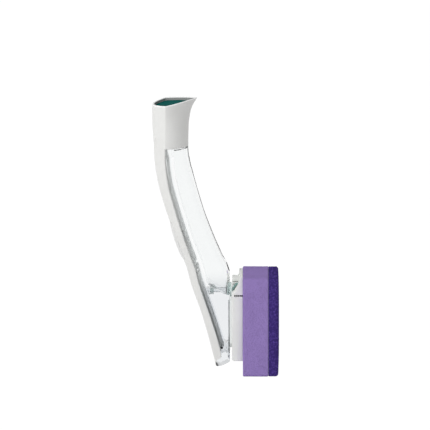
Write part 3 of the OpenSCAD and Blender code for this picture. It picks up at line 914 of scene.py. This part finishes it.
class WAND_OT_shell(bpy.types.Operator):
    """Mould the collar and the spine in one piece"""
    bl_idname = "wand.shell"
    bl_label = "Collar and spine"

    def execute(self, context):
        shell = shell_solid()
        carve(shell, [mouth_cutter(), collar_cutter(), spine_cutter()])
        (k0, k1), (u0, u1) = EAR_ROWS, EAR_REACH
        outline = [flat(cut(k), u) for k, u in ((k0, u0), (k0, u1), (k1, u1), (k1, u0))]
        ears = [slab("ear", outline, EAR_T, side * (LEVER_W / 2 + MOVE_GAP + EAR_T / 2))
                for side in (-1, 1)]
        carve(shell, ears, "UNION")
        pin = across("cut", *TOP_PIVOT, straight(PIN_D / 2, -7.9, 7.9))
        port = upright("cut", PORT_X, NECK_TOP - 1, straight(PORT_D / 2, 0, 18))
        carve(shell, [port, pin, window_cutter(), tail_cutter()])
        smooth(weld(shell), 28)
        # Mask for the painted shade inside the mouth (1) and the painted highlight on the rim (2)
        mask_faces(shell, "painted_shading", looks_into_mouth)
        finish_piece(shell, "handle", "shell plastic", "grey_plastic", "back_shell")
        return {"FINISHED"}


def floor_cut(reach, back, front):
    """A cut of the chamber's floor, with its back and front above the outlet's axis."""
    return np.array([X_FOOT - reach, OUTLET_Z + back, X_FOOT - WALL, OUTLET_Z + front,
                     HEEL_W - WALL, 0, 4, 3])


def chamber_solid():
    """The room that the soap fills, down to the outlet."""
    start = CHANNEL_D + WALL
    rings = [ring(cut(k), front_arc(cut(k), WALL, start)) for k in steps(COLLAR + 0.13, 10.6, 64)]
    for c in (floor_cut(24.3, 15.4, 16), floor_cut(23.8, 12.6, 9), floor_cut(22.6, 10, 2),
              floor_cut(21.2, 8.4, -OUTLET_D / 2)):
        rings.append(ring(c, front_arc(c, 0, 0)))
    return loft("cut", rings)


# The faceted notch that shows in the foot's lower end, as (x, z), and its width
FOOT_NOTCH = [(13.4, 37), (9.0, 28.5), (12.6, 15), (15.3, 15), (15.3, 37)]
NOTCH_W = 21


class WAND_OT_clear_body(bpy.types.Operator):
    """Mould the clear body with its soap chamber, lever channel and foot"""
    bl_idname = "wand.clear_body"
    bl_label = "Clear body"

    def execute(self, context):
        body = loft("reservoir_moulding", [ring(cut(k), front_arc(cut(k), 0, SEAM_GAP))
                                           for k in steps(COLLAR, TAIL, 130)])
        rings = []
        for k in steps(COLLAR - 0.1, 14.15, 80):
            c = cut(k)
            rings.append(ring(c, box_ring(c[5] - 4, c[5] + CHANNEL_D, c[4] - WALL)))
        carve(body, [chamber_solid(), loft("cut", rings), slab("cut", FOOT_NOTCH, NOTCH_W)])
        neck_low = ROWS[COLLAR][1] - WALL
        neck = upright("neck", PORT_X, neck_low,
                       straight(NECK_OUT / 2, 0, NECK_TOP - 1.5 - ROWS[COLLAR][1] + WALL))
        tail = carve(tail_solid(), [tail_cutter(-SEAM_GAP)], "INTERSECT")
        carve(body, [neck, tail], "UNION")
        boot_x = seam_point(row_at(OUTLET_Z, CHANNEL_D), CHANNEL_D)[0]
        inside = X_FOOT - WALL
        carve(body, [
            upright("cut", PORT_X, neck_low - 8, straight(PORT_D / 2, 0, 45)),
            along("cut", OUTLET_Z, straight(OUTLET_D / 2, inside - 4, X_FOOT + 1)),
            along("cut", OUTLET_Z, straight(STEM_D / 2 + PIN_GAP, boot_x - 3, inside)),
            along("cut", OUTLET_Z, straight(STEM_D, boot_x - 3, boot_x + 5)),
            across("cut", *LOW_PIVOT, straight(PIN_D / 2, -14.7, 14.7))])
        smooth(weld(body), 28)
        finish_piece(body, "handle", "clear plastic", "clear_plastic", "reservoir_body")
        dress("rail plastic", "rail_plate")
        return {"FINISHED"}


def button_crest(k):
    """How far the button's middle stands proud of the spine at a row."""
    t = (k - BUTTON_ROWS[0]) / (BUTTON_ROWS[1] - BUTTON_ROWS[0])
    return 0.05 + 0.75 * t ** 3 + 1.75 * max(math.sin(math.pi * t), 0) ** 0.7


class WAND_OT_button(bpy.types.Operator):
    """Mould the thumb button with its soft crest and its post"""
    bl_idname = "wand.button"
    bl_label = "Thumb button"

    def execute(self, context):
        w, inner = BUTTON_W / 2, SHELL_WALL + 1.4
        rings = []
        for k in steps(BUTTON_ROWS[0], BUTTON_ROWS[1], 60):
            c, h = cut(k), button_crest(k)
            top = []
            for j in range(-12, 13):
                e = j / 12
                y = w * e
                edge = 0.45 * max(0.0, (abs(e) - 0.86) / 0.14) ** 2
                top.append((c[5] * (y / c[4]) ** 2 - h * (1 - 0.3 * e * e) + edge, y))
            rings.append(ring(c, top + [(inner, w), (inner, -w)]))
        button = loft("thumb_button_moulding", rings)
        k0, k1 = POST_ROWS
        post = slab("post", [flat(cut(k0), 3), flat(cut(k1), 3), seam_point(k1, LEVER_GAP - 0.1),
                             seam_point(k0, LEVER_GAP - 0.1)], 6)
        carve(button, [post], "UNION")
        bevel(button, 0.25, 2, 50)
        smooth(weld(button), 40)
        finish_piece(button, "button", "button plastic", "grey_plastic", "thumb_button")
        return {"FINISHED"}


class WAND_OT_plug(bpy.types.Operator):
    """Turn and shape the soft fill plug"""
    bl_idname = "wand.plug"
    bl_label = "Fill plug"

    def execute(self, context):
        inset = SHELL_WALL + MOVE_GAP
        levels = [(mouth_row(PLUG_FACE + d), inset + extra) for extra, d in quarter_turn(PLUG_EDGE)]
        levels.append((mouth_row(DECK_DEPTH) - 0.005, inset))
        plug = loft("fill_plug_moulding", [ring(cut(k), full(cut(k), i)) for k, i in levels])
        seat = cut(mouth_row(PLUG_DEPTH))
        rise = (seat[3] - seat[1]) / (seat[2] - seat[0])
        low = seat[1] + (PORT_X - seat[0]) * rise - PLUG_FLANGE / 2 - PLUG_STEM
        core, rib = (PORT_D - 1) / 2, (PORT_D - 0.16) / 2
        profile = [(core - 1, 0)]
        for i in range(3):
            z = 0.8 + 2.4 * i
            profile += [(core, z), (rib, z + 0.35), (rib, z + 0.65), (core, z + 1.0)]
        stem = upright("stem", PORT_X, low, profile + [(core, PLUG_STEM)])
        face, bars = cut(mouth_row(PLUG_FACE)), []
        for i in range(3):
            (x0, z0), (x1, z1) = (flat(face, u + 2.6 * i) for u in (29, 30))
            outline = [(x0, z0 - 0.3), (x1, z1 - 0.3), (x1, z1 + 0.7), (x0, z0 + 0.7)]
            bars.append(bevel(slab("bar", outline, 8 - 2 * i), 0.25, 2))
        carve(plug, [stem] + bars, "UNION")
        carve(plug, [upright("cut", PORT_X, low - 1, straight(PORT_D / 2 - 2.5, 0, 9))])
        smooth(weld(plug), 35)
        finish_piece(plug, "plug", "teal rubber", "teal_rubber", "fill_plug")
        return {"FINISHED"}


class WAND_OT_works(bpy.types.Operator):
    """Dress the levers, pins, spring, valve and seals"""
    bl_idname = "wand.works"
    bl_label = "Works"

    def execute(self, context):
        tip = TIP_ROW - 0.12
        line = [seam_point(k, LEVER_GAP + LEVER_LAP + 0.3) for k in steps(tip, TIP_ROW + 0.3, 6)]
        line += [seam_point(k, LEVER_GAP) for k in steps(TIP_ROW + 0.3, EYE_ROW, 40)]
        for k in steps(EYE_ROW, tip, 44):
            thin = 0.72 + 0.28 * min(1, 3 * (EYE_ROW - k))
            line.append(seam_point(k, LEVER_GAP + LEVER_T * thin))
        lever = slab("lower_lever_moulding", line, LEVER_W)
        eye = across("eye", *LOW_PIVOT, straight(EYE_R, -LEVER_W / 2, LEVER_W / 2))
        carve(lever, [eye], "UNION")
        carve(lever, [across("cut", *LOW_PIVOT, straight(PIN_D / 2 + PIN_GAP, -9, 9))])
        smooth(weld(lever), 30)
        finish_piece(lever, "lever", "lower lever plastic", "dark_plastic", "lower_lever")
        dress("upper lever plastic", "upper_lever")
        dress("spring steel", "upper_pin", "lower_pin", "lever_spring")
        dress("clear plastic", "valve_stem")
        dress("clear silicone", "stem_boot")
        dress("pale seal rubber", "valve_disc", "outlet_seal")
        dress("dark seal rubber", "neck_seal")
        return {"FINISHED"}


def on_plate(*places):
    """Points as (x, z) from how far each lies in front of the plate's back and below its top."""
    return [(X_BACK + u, PLATE_TOP - d) for u, d in places]


def rail_slot(u0, u1, width):
    """A slot from the plate's lower end up to the rail's top, with its gap all round."""
    half = width / 2 + MOVE_GAP
    return block("cut", (X_BACK + u0, -half, PAD_TAIL - 1), (X_BACK + u1, half, RAIL_TOP + 0.3))


def vents():
    """The rows of vents in both sides of the plate."""
    cuts = []
    for side in (-1, 1):
        for i in range(VENTS):
            x, y = X_BACK + 2.4 + VENT_PITCH * i, side * PLATE_W / 2
            cuts.append(block("cut", (x, y - VENT_D, VENT_LOW),
                              (x + VENT_W, y + VENT_D, VENT_LOW + VENT_H)))
    return cuts


# Faces inside the vents, which get painted shade
def in_vent(p, n):
    side = PLATE_W / 2
    return VENT_LOW < p.z < VENT_LOW + VENT_H and side - VENT_D - 0.1 < abs(p.y) < side - 0.01


class WAND_OT_head(bpy.types.Operator):
    """Mould the head plate with its thumb block, and dress the clip and the spreader"""
    bl_idname = "wand.head"
    bl_label = "Head plate"

    def execute(self, context):
        outline = [(X_PLATE, PAD_TAIL), (X_PLATE, PLATE_TOP)]
        outline += on_plate((7.5, 0), (7.3, 4.6), (4.8, 10), (1.2, 15.4), (0, 17.4))
        outline += [(X_BACK, PAD_TAIL + 1.6), (X_BACK + 1.6, PAD_TAIL)]
        plate = bevel(slab("head_plate_moulding", outline, PLATE_W), sizes().plate_edge, 3)
        thumb = slab("thumb", on_plate((9.5, 3.6), (0.3, 3.6), (0.3, 17), (9.5, 17)), THUMB_W)
        bevel(thumb, 0.5, 3)
        slots = []
        for i in range(sizes().ribs):
            (x0, z0), (x1, z1) = on_plate((-1, 8.1 + SLOT_PITCH * i), (6.5, 7.1 + SLOT_PITCH * i))
            slots.append(block("slot", (x0, -10, z0), (x1, 10, z1)))
        carve(thumb, slots)
        pocket = on_plate((-1, 15.4), (-1, -1), (9.2, -1), (9.2, 11), (6, 15.4))
        carve(plate, [slab("pocket", pocket, POCKET_W, side * POCKET_Y) for side in (-1, 1)])
        carve(plate, [thumb], "UNION")
        clip = on_plate((0.3, 16.6), (4.6, 10.1), (7.6, 10.1), (7.6, 8.7), (3.8, 8.7), (0.3, 14))
        carve(plate, [
            slab("cut", clip, CLIP_W),
            rail_slot(-1, RAIL_FLANGE + 1, RAIL_WEB),
            rail_slot(RAIL_FLANGE - 0.4, RAIL_FLANGE + 3, RAIL_W),
            along("cut", OUTLET_Z, straight(OUTLET_D / 2 + 1.7, X_BACK - 1, X_BACK + 3)),
            along("cut", OUTLET_Z, straight(OUTLET_D / 2 - 1, X_BACK, X_PLATE + 1)),
            block("cut", (X_PLATE - 2.5, -9, PAD_TAIL + 14), (X_PLATE + 1, 9, PAD_TAIL + 78))]
              + vents())
        smooth(weld(plate), 35)
        # Mask for the painted shade inside the vents
        mask_faces(plate, "painted_shading", in_vent)
        finish_piece(plate, "head", "plate plastic", "plate_plastic", "head_plate")
        dress("clip rubber", "grip_clip")
        dress("plate plastic", "soap_spreader")
        return {"FINISHED"}


def pad_outline(inset):
    """The pad's outline across X, as (y, z), with rounded corners."""
    pts = []
    w, top = PAD_W / 2 - inset, PAD_LEN - inset
    for cy, cz, r, start in ((w, top, PAD_R_TOP, 0), (-w, top, PAD_R_TOP, 90),
                             (-w, inset, PAD_R_LOW, 180), (w, inset, PAD_R_LOW, 270)):
        r = max(r - inset, 0.6)
        y, z = cy - math.copysign(r, cy), cz - r if cz > PAD_LEN / 2 else cz + r
        for a in steps(start, start + 90, 10):
            pts.append((y + r * math.cos(math.radians(a)), z + r * math.sin(math.radians(a))))
    return pts


def pad_solid(name, x_insets, voxel):
    """A pad layer through outlines at its planes and insets, in even small faces."""
    obj = loft(name, [[(x, y, z) for y, z in pad_outline(i)] for x, i in x_insets])
    mod = obj.modifiers.new("even", "REMESH")
    mod.mode = "VOXEL"
    mod.voxel_size = voxel * MM
    bake_modifiers(obj)
    return obj


def move_vertices(obj, shift):
    """Move each vertex by what shift gives for its place and its normal, in millimetres."""
    mesh = obj.data
    places = [v.co.copy() for v in mesh.vertices]
    normals = [n.vector.copy() for n in mesh.vertex_normals]
    moved = [p + shift(p / MM, n) * MM for p, n in zip(places, normals)]
    mesh.vertices.foreach_set("co", [a for p in moved for a in p])
    mesh.update()


def turn_profile(x0, x1, r0, r1):
    """Planes and insets of a pad layer with rounded edges at both faces."""
    return ([(x0 + d, inset) for inset, d in quarter_turn(r0)]
            + [(x1 - inset, d) for inset, d in quarter_turn(r1)])


class WAND_OT_foam(bpy.types.Operator):
    """Cut the foam, with its open cells and its slightly slack sides"""
    bl_idname = "wand.foam"
    bl_label = "Foam"

    def execute(self, context):
        foam = pad_solid("foam_block", turn_profile(X_PLATE, X_FOAM - LAYER_GAP, 0.8, 0.5), 0.9)

        def shift(p, n):
            """Slack sides, cut cells and a slight bow, less near the two faces."""
            soft = noise.noise(p * 0.045) * 0.25
            pit = noise.cell(p * 0.9)
            cells = -0.16 * max(0.0, pit - 0.45) + 0.1 * noise.noise(p * 0.8)
            edge = min(p.x - X_PLATE, X_FOAM - p.x)
            hold = min(max(edge / 3, 0), 1)
            side = math.hypot(n.y, n.z)
            mid = 1 - ((p.x - X_PLATE) / (X_FOAM - X_PLATE) * 2 - 1) ** 2
            return n * side * ((soft + cells) * hold - 0.12 + 0.1 * mid)

        move_vertices(foam, shift)
        smooth(foam, 180)
        finish_piece(foam, "head", "cut foam", "foam", "sponge")
        return {"FINISHED"}


class WAND_OT_scrub(bpy.types.Operator):
    """Lay the scrub layer, crowned and rough with fibres"""
    bl_idname = "wand.scrub"
    bl_label = "Scrub layer"

    def execute(self, context):
        scrub = pad_solid("scrub_layer", turn_profile(X_FOAM + LAYER_GAP, X_SCRUB, 0.4, 2.8), 0.8)
        crown = sizes().crown

        def shift(p, n):
            """Fibres that stand up, on a face that falls away toward its corners."""
            far = max(abs(p.y) / (PAD_W / 2), abs(p.z - PAD_LEN / 2) / (PAD_LEN / 2))
            reach = (p.x - X_FOAM) / (X_SCRUB - X_FOAM)
            bow = Vector((-crown * reach * far ** 4, 0, 0))
            lift = -0.3 + 0.22 * noise.noise(p * 0.9) + 0.12 * noise.noise(p * 2.1)
            outer = max(n.x, 0) + math.hypot(n.y, n.z)
            return bow + n * min(outer, 1) * lift

        move_vertices(scrub, shift)
        smooth(scrub, 180)
        finish_piece(scrub, "head", "scrub fibres", "scrub_fibre", "scrub_pad")
        return {"FINISHED"}


OPERATORS = (WAND_OT_stage, WAND_OT_finishes, WAND_OT_shell, WAND_OT_clear_body, WAND_OT_button,
             WAND_OT_plug, WAND_OT_works, WAND_OT_head, WAND_OT_foam, WAND_OT_scrub)


class WAND_PT_panel(bpy.types.Panel):
    """Lists the wand's pieces, sizes and colours"""
    bl_idname = "WAND_PT_panel"
    bl_label = "Dish wand"
    bl_space_type = "VIEW_3D"
    bl_region_type = "UI"
    bl_category = "Dish wand"

    def draw(self, context):
        for settings in (context.scene.wand_sizes, context.scene.wand_colours):
            box = self.layout.box()
            for key in settings.__annotations__:
                box.prop(settings, key)
        for op in OPERATORS:
            self.layout.operator(op.bl_idname)


CLASSES = (WandColours, WandSizes, *OPERATORS, WAND_PT_panel)


def register():
    for c in CLASSES:
        bpy.utils.register_class(c)
    bpy.types.Scene.wand_colours = PointerProperty(type=WandColours)
    bpy.types.Scene.wand_sizes = PointerProperty(type=WandSizes)


def unregister():
    del bpy.types.Scene.wand_sizes
    del bpy.types.Scene.wand_colours
    for c in reversed(CLASSES):
        bpy.utils.unregister_class(c)


def main():
    register()
    for op in OPERATORS:
        area, name = op.bl_idname.split(".")
        if getattr(getattr(bpy.ops, area), name)() != {"FINISHED"}:
            raise RuntimeError(f"{op.bl_label} did not finish")


if __name__ == "__main__":
    main()
